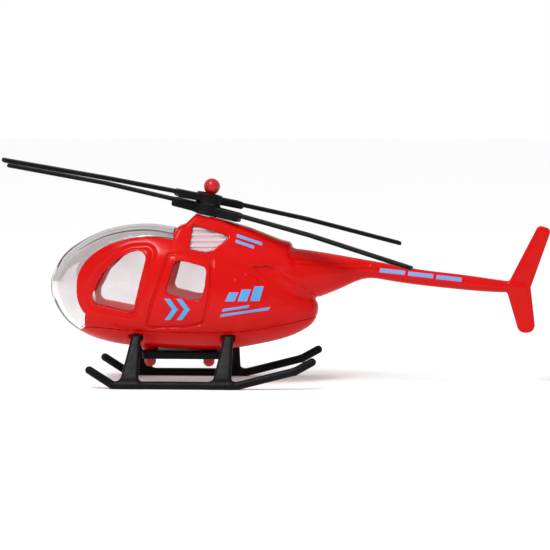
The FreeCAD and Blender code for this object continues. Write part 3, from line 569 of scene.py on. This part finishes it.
def surface_net(field, low, high, step):
    """Points and four-sided faces of a field's zero surface, with the points moved onto it."""
    axes = [np.arange(a, b + step, step) for a, b in zip(low, high)]
    values = field(axes[0][:, None, None], axes[1][None, :, None], axes[2][None, None, :])
    values = np.broadcast_to(values, [len(axis) for axis in axes])
    inside = values < 0
    corner_count = np.zeros([len(axis) - 1 for axis in axes], np.int8)
    corners = [(i, j, k) for i in (0, 1) for j in (0, 1) for k in (0, 1)]
    for i, j, k in corners:
        block = inside[i:len(axes[0]) - 1 + i, j:len(axes[1]) - 1 + j, k:len(axes[2]) - 1 + k]
        corner_count += block
    cells = np.argwhere((corner_count > 0) & (corner_count < 8))
    number = np.full(corner_count.shape, -1, np.int64)
    number[tuple(cells.T)] = np.arange(len(cells))
    total = np.zeros((len(cells), 3))
    hits = np.zeros(len(cells))
    faces = []
    for axis in range(3):
        others = [a for a in range(3) if a != axis]
        for i, j in ((0, 0), (0, 1), (1, 0), (1, 1)):
            start = cells.copy()
            start[:, others[0]] += i
            start[:, others[1]] += j
            end = start.copy()
            end[:, axis] += 1
            a = values[tuple(start.T)]
            b = values[tuple(end.T)]
            crossed = (a < 0) != (b < 0)
            share = np.where(crossed, a / np.where(crossed, a - b, 1.0), 0.0)
            place = start.astype(float)
            place[:, axis] += share
            total[crossed] += place[crossed]
            hits[crossed] += 1
        lower = [slice(None)] * 3
        upper = [slice(None)] * 3
        lower[axis] = slice(0, -1)
        upper[axis] = slice(1, None)
        changed = np.argwhere(inside[tuple(lower)] != inside[tuple(upper)])
        leaving = inside[tuple(lower)][tuple(changed.T)]
        ring = []
        for i, j in ((0, 0), (1, 0), (1, 1), (0, 1)):
            cell = changed.copy()
            cell[:, others[0]] -= i
            cell[:, others[1]] -= j
            ring.append(number[tuple(cell.T)])
        quad = np.stack(ring, axis=1)
        flip = leaving if axis != 1 else ~leaving
        faces.append(np.where(flip[:, None], quad, quad[:, ::-1]))
    points = total / hits[:, None] * step + np.array([axis[0] for axis in axes])
    return settle(field, points, np.concatenate(faces), step)


def gradient(field, points):
    """The field's slope at each point."""
    slopes = []
    for axis in range(3):
        shift = np.zeros(3)
        shift[axis] = GRADIENT_STEP
        ahead = field(*(points + shift).T)
        behind = field(*(points - shift).T)
        slopes.append((ahead - behind) / (2 * GRADIENT_STEP))
    return np.stack(slopes, axis=1)


def project(field, points, step):
    """Moves the points along the slope onto the zero surface, never further than a cell."""
    slope = gradient(field, points)
    value = field(*points.T)
    move = -slope * (value / np.maximum((slope ** 2).sum(1), 0.05))[:, None]
    length = np.linalg.norm(move, axis=1, keepdims=True)
    return points + move * np.minimum(1.0, 0.7 * step / np.maximum(length, 1e-9))


def settle(field, points, faces, step):
    """Evens out the net while keeping it on the surface."""
    for _ in range(2):
        points = project(field, points, step)
    for _ in range(2):
        around = np.zeros_like(points)
        count = np.zeros(len(points))
        for corner in range(4):
            here = faces[:, corner]
            for other in (faces[:, corner - 1], faces[:, (corner + 1) % 4]):
                np.add.at(count, here, 1)
                for axis in range(3):
                    around[:, axis] += np.bincount(here, points[other, axis], len(points))
        points = points * 0.5 + around / count[:, None] * 0.5
        points = project(field, points, step)
    return project(field, points, step), faces


def to_frame(points):
    """Stations and heights in millimetres to the frame's metres."""
    return (points + np.array([NOSE_X, 0.0, 0.0])) * MM


def mast_to_frame(points, turn):
    """Points drawn in the mast's own frame, turned about it, to the frame's metres."""
    c, s = math.cos(turn), math.sin(turn)
    along = points[:, 0] * c - points[:, 1] * s
    across = points[:, 0] * s + points[:, 1] * c
    x = MAST_STATION + along * math.cos(MAST_TILT) + points[:, 2] * math.sin(MAST_TILT)
    z = -along * math.sin(MAST_TILT) + points[:, 2] * math.cos(MAST_TILT)
    return to_frame(np.stack((x, across, z), axis=1))


def make_object(name, points, faces, material):
    """A smooth-shaded mesh object from points in metres."""
    mesh = bpy.data.meshes.new(name)
    mesh.vertices.add(len(points))
    mesh.vertices.foreach_set("co", points.astype(np.float32).ravel())
    mesh.loops.add(faces.size)
    mesh.loops.foreach_set("vertex_index", faces.astype(np.int32).ravel())
    mesh.polygons.add(len(faces))
    mesh.polygons.foreach_set("loop_start", np.arange(0, faces.size, faces.shape[1], dtype=np.int32))
    mesh.polygons.foreach_set("use_smooth", np.ones(len(faces), bool))
    mesh.update(calc_edges=True)
    mesh.validate()
    mesh.materials.append(material)
    made = bpy.data.objects.new(name, mesh)
    bpy.context.scene.collection.objects.link(made)
    return made


def thin_out(piece, ratio):
    """Joins faces where the surface is plain."""
    change = piece.modifiers.new("thin_out", "DECIMATE")
    change.ratio = ratio
    bpy.context.view_layer.update()
    plain = bpy.data.meshes.new_from_object(piece.evaluated_get(bpy.context.evaluated_depsgraph_get()))
    piece.modifiers.clear()
    piece.data = plain
    plain.polygons.foreach_set("use_smooth", np.ones(len(plain.polygons), bool))


# ---- Materials ----


def add_node(tree, kind, **inputs):
    """A shader node with some of its sockets set."""
    node = tree.nodes.new(kind)
    for name, value in inputs.items():
        node.inputs[name.replace("_", " ")].default_value = value
    return node


def noise(tree, scale, detail=3.0):
    """Noise over the object's own metres."""
    place = tree.nodes.new("ShaderNodeTexCoord")
    grain = add_node(tree, "ShaderNodeTexNoise", Scale=scale, Detail=detail)
    tree.links.new(place.outputs["Object"], grain.inputs["Vector"])
    return grain.outputs["Fac"]


def ranged(tree, value, low, high):
    """A noise value spread between two numbers."""
    node = tree.nodes.new("ShaderNodeMapRange")
    node.inputs["From Min"].default_value = 0.3
    node.inputs["From Max"].default_value = 0.7
    node.inputs["To Min"].default_value = low
    node.inputs["To Max"].default_value = high
    tree.links.new(value, node.inputs["Value"])
    return node.outputs["Result"]


def mixed(tree, value, first, second):
    """Two colours mixed by a value."""
    node = tree.nodes.new("ShaderNodeMix")
    node.data_type = "RGBA"
    tree.links.new(value, node.inputs["Factor"])
    node.inputs["A"].default_value = (*first, 1.0)
    node.inputs["B"].default_value = (*second, 1.0)
    return node.outputs["Result"]


def surface(name, first, second, smooth, rough, grain=900.0, bump=0.00002, shine=0.5, metallic=0.0):
    """Moulded or painted stuff: cloudy colour, uneven gloss and a fine skin."""
    made = bpy.data.materials.new(name)
    made.use_nodes = True
    tree = made.node_tree
    shader = tree.nodes["Principled BSDF"]
    shader.inputs["Metallic"].default_value = metallic
    shader.inputs["Specular IOR Level"].default_value = shine
    tree.links.new(mixed(tree, ranged(tree, noise(tree, 130.0), 0.0, 1.0), first, second),
                   shader.inputs["Base Color"])
    tree.links.new(ranged(tree, noise(tree, 420.0), smooth, rough), shader.inputs["Roughness"])
    skin = tree.nodes.new("ShaderNodeBump")
    skin.inputs["Distance"].default_value = bump
    skin.inputs["Strength"].default_value = 0.5
    tree.links.new(noise(tree, grain, 2.0), skin.inputs["Height"])
    tree.links.new(skin.outputs["Normal"], shader.inputs["Normal"])
    return made


def clear(name, first, second, smooth, rough, through=1.0):
    """Clear moulded plastic whose tint wanders by noise between two colours, and that lets the lamps' light
    through.
    """
    made = bpy.data.materials.new(name)
    made.use_nodes = True
    tree = made.node_tree
    shader = tree.nodes["Principled BSDF"]
    tree.links.new(mixed(tree, ranged(tree, noise(tree, 70.0), 0.0, 1.0), first, second),
                   shader.inputs["Base Color"])
    shader.inputs["Transmission Weight"].default_value = through
    shader.inputs["IOR"].default_value = 1.45
    tree.links.new(ranged(tree, noise(tree, 260.0), smooth, rough), shader.inputs["Roughness"])
    lamp_way = tree.nodes.new("ShaderNodeBsdfTransparent")
    lamp_way.inputs["Color"].default_value = (*first, 1.0)
    ray = tree.nodes.new("ShaderNodeLightPath")
    either = tree.nodes.new("ShaderNodeMixShader")
    tree.links.new(ray.outputs["Is Shadow Ray"], either.inputs["Fac"])
    tree.links.new(shader.outputs["BSDF"], either.inputs[1])
    tree.links.new(lamp_way.outputs["BSDF"], either.inputs[2])
    tree.links.new(either.outputs["Shader"], tree.nodes["Material Output"].inputs["Surface"])
    return made


RED_PAINT = surface(
    "red_paint", (0.49, 0.0016, 0.0012), (0.53, 0.0026, 0.0018), 0.16, 0.26, 700.0, 0.000003, shine=0.15
)
RED_PLASTIC = surface(
    "red_plastic", (0.42, 0.008, 0.010), (0.46, 0.011, 0.015), 0.16, 0.26, 700.0, 0.000003, shine=0.3
)
BLACK_PLASTIC = surface(
    "black_plastic", (0.0035, 0.0030, 0.0035), (0.007, 0.006, 0.007), 0.36, 0.48, 700.0, 0.00002, shine=0.08
)
STEEL = surface("steel", (0.55, 0.55, 0.56), (0.62, 0.61, 0.60), 0.25, 0.4, metallic=1.0)
# The darker pinkish second tint is partly painted reflection: its streaks stand in for the red body mirrored
# in the canopy and panes.
CLEAR_PLASTIC = clear("clear_plastic", (0.93, 0.915, 0.92), (0.83, 0.77, 0.785), 0.02, 0.07)
HAZY_PLASTIC = clear("hazy_plastic", (0.84, 0.74, 0.76), (0.74, 0.62, 0.65), 0.25, 0.4, 0.45)
BLUE_PRINT = surface(
    "blue_print", (0.055, 0.29, 0.60), (0.085, 0.34, 0.66), 0.36, 0.5, 700.0, 0.000006, shine=0.2
)
LILAC_PRINT = surface(
    "lilac_print", (0.30, 0.20, 0.46), (0.38, 0.27, 0.52), 0.36, 0.5, 700.0, 0.000006, shine=0.2
)


# ---- Pieces ----

COARSE = 1.0


def build_piece(name, field, low, high, step, material, body="airframe", ratio=None, place=to_frame):
    """A piece that stands for the CAD node of its own name."""
    points, faces = surface_net(field, low, high, step * COARSE)
    made = make_object(name + "_skin", place(points), faces, material)
    if ratio is not None:
        thin_out(made, ratio)
    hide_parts(name)
    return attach(made, body)


def flipped(field):
    """The same field for the other side."""
    return lambda x, y, z: field(x, -y, z)


def one_side(field, sign):
    """Only the left or the right half of a field."""
    return lambda x, y, z: np.maximum(field(x, y, z), 0.2 - sign * y)


build_piece("upper_body", upper_body_field, (6.0, -16.4, 15.8), (161.4, 16.4, 56.4), 0.34,
            RED_PAINT)
build_piece("belly_pan", belly_pan_field, (8.6, -13.4, 9.8), (87.0, 13.4, 23.0), 0.34,
            RED_PAINT)
build_piece("canopy", canopy_field, (-0.6, -9.9, 15.4), (41.6, 9.9, 52.2), 0.34,
            CLEAR_PLASTIC)
for side, sign in (("left", -1), ("right", 1)):
    build_piece(f"{side}_side_glazing", one_side(side_pane_field, sign),
                (12.6, -14.6, 21.4), (53.6, 14.6, 46.0), 0.34, CLEAR_PLASTIC)
    build_piece(f"{side}_louvre_glazing", one_side(louvre_field, sign),
                (44.6, -11.4, 41.4), (59.0, 11.4, 52.2), 0.25, HAZY_PLASTIC)
    skid = skid_frame_field if side == "right" else flipped(skid_frame_field)
    span = (3.4, 21.9) if side == "right" else (-21.9, -3.4)
    build_piece(f"{side}_skid_frame", skid, (13.0, span[0], -0.6), (87.2, span[1], 16.9), 0.28,
                BLACK_PLASTIC, ratio=0.6)
build_piece("belly_plate", belly_plate_field, (29.3, -6.2, 7.2), (55.8, 6.2, 11.0), 0.28,
            BLACK_PLASTIC)


def at_station(station):
    """Points drawn at station 0, moved to a station."""
    return lambda points: to_frame(points + np.array([station, 0.0, 0.0]))


for end, station in PUSH_PINS.items():
    build_piece(f"{end}_push_pin", push_pin_field, (-2.4, -2.4, 4.8), (2.4, 2.4, 22.4), 0.2,
                RED_PLASTIC, place=at_station(station))


def on_mast(turn_degrees):
    """Points drawn about the mast, turned by an angle."""
    return lambda points: mast_to_frame(points, math.radians(turn_degrees))


build_piece("rotor_pin", rotor_pin_field, (-3.1, -3.1, 43.4), (3.1, 3.1, 68.0), 0.2,
            RED_PLASTIC, place=on_mast(0.0))
for name, (hub_low, hub_high, blade_height, fore_sag, aft_sag, turn) in ROTORS.items():
    build_piece(name, rotor_field(hub_low, hub_high, blade_height, fore_sag, aft_sag),
                (-71.6, -4.8, hub_low - 2.2), (71.6, 4.8, hub_high + 0.6), 0.26, BLACK_PLASTIC,
                body=name, ratio=0.6, place=on_mast(turn))
for name in ("rotor_pin_clip", "hub_seat_washer", "rotor_spacer"):
    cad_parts[name].data.materials.clear()
    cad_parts[name].data.materials.append(STEEL)


# ---- Printed stripes ----


def skin_side(x, z, sign):
    """The side position of the red skin at given stations and heights."""
    near = np.zeros_like(x)
    far = np.full_like(x, 20.0)
    for _ in range(30):
        middle = (near + far) / 2
        inside = outer_solid(x, sign * middle, z) < 0
        near = np.where(inside, middle, near)
        far = np.where(inside, far, middle)
    return sign * (near + far) / 2


def patch(corners, sign, lift):
    """A thin closed patch on the skin over a four-cornered side-view shape."""
    a, b, c, d = (np.array(corner) for corner in corners)
    along = max(2, int(np.hypot(*(b - a)) / 0.5) + 1)
    upward = max(2, int(np.hypot(*(d - a)) / 0.5) + 1)
    u, v = np.meshgrid(np.linspace(0, 1, along), np.linspace(0, 1, upward), indexing="ij")
    flat = (
        a[:, None, None] * (1 - u) * (1 - v) + b[:, None, None] * u * (1 - v)
        + c[:, None, None] * u * v + d[:, None, None] * (1 - u) * v
    )
    x, z = flat[0].ravel(), flat[1].ravel()
    skin = np.stack((x, skin_side(x, z, sign), z), axis=1)
    slope = gradient(outer_solid, skin)
    slope /= np.linalg.norm(slope, axis=1, keepdims=True)
    points = np.concatenate((skin + slope * lift, skin - slope * 0.05))
    count = along * upward
    index = np.arange(count).reshape(along, upward)
    top = np.stack((index[:-1, :-1], index[1:, :-1], index[1:, 1:], index[:-1, 1:]), axis=-1).reshape(-1, 4)
    rim = np.concatenate((index[:, 0], index[-1, 1:], index[-2::-1, -1], index[0, -2:0:-1]))
    after = np.roll(rim, -1)
    walls = np.stack((rim, rim + count, after + count, after), axis=1)
    faces = np.concatenate((top, top[:, ::-1] + count, walls))
    return points, faces if sign < 0 else faces[:, ::-1]


def print_piece(name, shapes, sign, lift, material):
    """All patches of one print as one piece."""
    points, faces = [], []
    start = 0
    for corners in shapes:
        patch_points, patch_faces = patch(corners, sign, lift)
        points.append(patch_points)
        faces.append(patch_faces + start)
        start += len(patch_points)
    made = make_object(name, to_frame(np.concatenate(points)), np.concatenate(faces), material)
    made.data.polygons.foreach_set("use_smooth", np.zeros(len(made.data.polygons), bool))
    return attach(made, "airframe")


def slanted(x, z, length, height, lean, rise=0.0):
    """A leaning bar from its low front corner: it leans aft over its height and rises along its length."""
    return ((x, z), (x + length, z + rise), (x + length + lean, z + rise + height), (x + lean, z + height))


def grown(corners, amount):
    """The same shape a little larger all round."""
    middle = np.mean(corners, axis=0)
    made = []
    for corner in corners:
        away = np.subtract(corner, middle)
        made.append(tuple(np.add(corner, np.sign(away) * amount)))
    return tuple(made)


def chevrons():
    """Two arrow heads side by side on the door, each of two bars."""
    made = []
    for x in (38.4, 42.2):
        made.append(((x, 21.6), (x + 1.7, 21.6), (x + 4.0, 24.8), (x + 2.3, 24.8)))
        made.append(((x + 2.3, 24.8), (x + 4.0, 24.8), (x + 1.7, 28.0), (x, 28.0)))
    return made


PRINTS = {
    "door_arrows": chevrons(),
    "rear_bars": [slanted(57.6 + 3.9 * step, 27.6, 2.5, 2.4 + 0.9 * step, 1.3) for step in range(3)],
    "rear_lines": [slanted(56.0, 22.6, 15.0, 0.75, 0.2, 1.9), slanted(56.6, 24.3, 8.0, 0.75, 0.2, 1.0)],
    "roof_lines": [slanted(60.6, 47.2, 7.6, 0.8, 0.2, -2.4), slanted(60.3, 45.5, 5.4, 0.8, 0.2, -1.7)],
    "boom_lines": [
        slanted(106.0 + 9.0 * step, 36.2 - 1.05 * step, 7.6, 0.9, 0.2, -0.85) for step in range(3)
    ],
}
for side, sign in (("left", -1), ("right", 1)):
    for name, shapes in PRINTS.items():
        edges = [grown(shape, 0.22) for shape in shapes]
        print_piece(f"{side}_{name}_edge", edges, sign, 0.025, LILAC_PRINT)
        print_piece(f"{side}_{name}", shapes, sign, 0.05, BLUE_PRINT)


# ---- Studio ----

# The picture is 550 pixels wide, and the lens's focal length is in the same pixels.
IMAGE_WIDTH = 550.0
FOCAL_LENGTH = 2800.0
SENSOR_WIDTH = 36.0
CAMERA_TURN = math.radians(3.7)
CAMERA_PITCH = math.radians(4.28)
CAMERA_PLACE = (0.05855, -0.8923, 0.1017)


def floor():
    """A wide, flat, pale floor."""
    made = bpy.data.materials.new("studio_floor")
    made.use_nodes = True
    tree = made.node_tree
    tree.nodes["Principled BSDF"].inputs["Roughness"].default_value = 0.7
    tree.links.new(mixed(tree, noise(tree, 6.0), (0.94, 0.94, 0.94), (0.96, 0.96, 0.96)),
                   tree.nodes["Principled BSDF"].inputs["Base Color"])
    tree.nodes["Principled BSDF"].inputs["Emission Color"].default_value = (1.0, 1.0, 1.0, 1.0)
    tree.nodes["Principled BSDF"].inputs["Emission Strength"].default_value = 0.07
    half = 3.0
    points = np.array([(-half, -half, 0), (half, -half, 0), (half, half, 0), (-half, half, 0)], float)
    plane = make_object("floor", points, np.array([[0, 1, 2, 3]]), made)
    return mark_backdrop(plane)


def soft_lamp(name, place, aim, size, power):
    """A square soft lamp turned to a point."""
    lamp = bpy.data.lights.new(name, "AREA")
    lamp.size = size
    lamp.energy = power
    made = bpy.data.objects.new(name, lamp)
    made.location = place
    made.rotation_euler = (Vector(aim) - Vector(place)).to_track_quat("-Z", "Y").to_euler()
    bpy.context.scene.collection.objects.link(made)


def camera():
    """A long lens a little right of the object's side and slightly above it."""
    lens = bpy.data.cameras.new("camera")
    lens.sensor_width = SENSOR_WIDTH
    lens.lens = SENSOR_WIDTH * FOCAL_LENGTH / IMAGE_WIDTH
    lens.clip_start = 0.01
    made = bpy.data.objects.new("camera", lens)
    forward = Vector((
        -math.sin(CAMERA_TURN) * math.cos(CAMERA_PITCH),
        math.cos(CAMERA_TURN) * math.cos(CAMERA_PITCH),
        -math.sin(CAMERA_PITCH),
    ))
    right = Vector((math.cos(CAMERA_TURN), math.sin(CAMERA_TURN), 0.0))
    up = right.cross(forward)
    axes = Matrix((right, up, -forward)).transposed().to_4x4()
    made.matrix_world = Matrix.Translation(CAMERA_PLACE) @ axes
    bpy.context.scene.collection.objects.link(made)
    bpy.context.scene.camera = made


def sun_lamp(name, aim, spread_degrees, strength):
    """A wide soft sun shining along a direction."""
    lamp = bpy.data.lights.new(name, "SUN")
    lamp.angle = math.radians(spread_degrees)
    lamp.energy = strength
    made = bpy.data.objects.new(name, lamp)
    made.rotation_euler = Vector(aim).to_track_quat("-Z", "Y").to_euler()
    bpy.context.scene.collection.objects.link(made)


def studio_world(seen, lit):
    """White surroundings that light the object a little less than they look."""
    world = bpy.data.worlds.new("studio")
    world.use_nodes = True
    tree = world.node_tree
    shown = tree.nodes["Background"]
    shown.inputs["Color"].default_value = (1.0, 1.0, 1.0, 1.0)
    shown.inputs["Strength"].default_value = seen
    glow = tree.nodes.new("ShaderNodeBackground")
    glow.inputs["Color"].default_value = (1.0, 0.995, 0.99, 1.0)
    glow.inputs["Strength"].default_value = lit
    ray = tree.nodes.new("ShaderNodeLightPath")
    either = tree.nodes.new("ShaderNodeMixShader")
    tree.links.new(ray.outputs["Is Camera Ray"], either.inputs["Fac"])
    tree.links.new(glow.outputs["Background"], either.inputs[1])
    tree.links.new(shown.outputs["Background"], either.inputs[2])
    tree.links.new(either.outputs["Shader"], tree.nodes["World Output"].inputs["Surface"])
    bpy.context.scene.world = world


floor()
sun_lamp("key_lamp", (0.25, 0.4, -0.85), 25.0, 1.3)
soft_lamp("top_lamp", (-0.15, -0.4, 0.5), (-0.02, 0.0, 0.03), 0.15, 1.9)
studio_world(1.0, 0.62)
bpy.context.scene.view_settings.view_transform = "Standard"
camera()
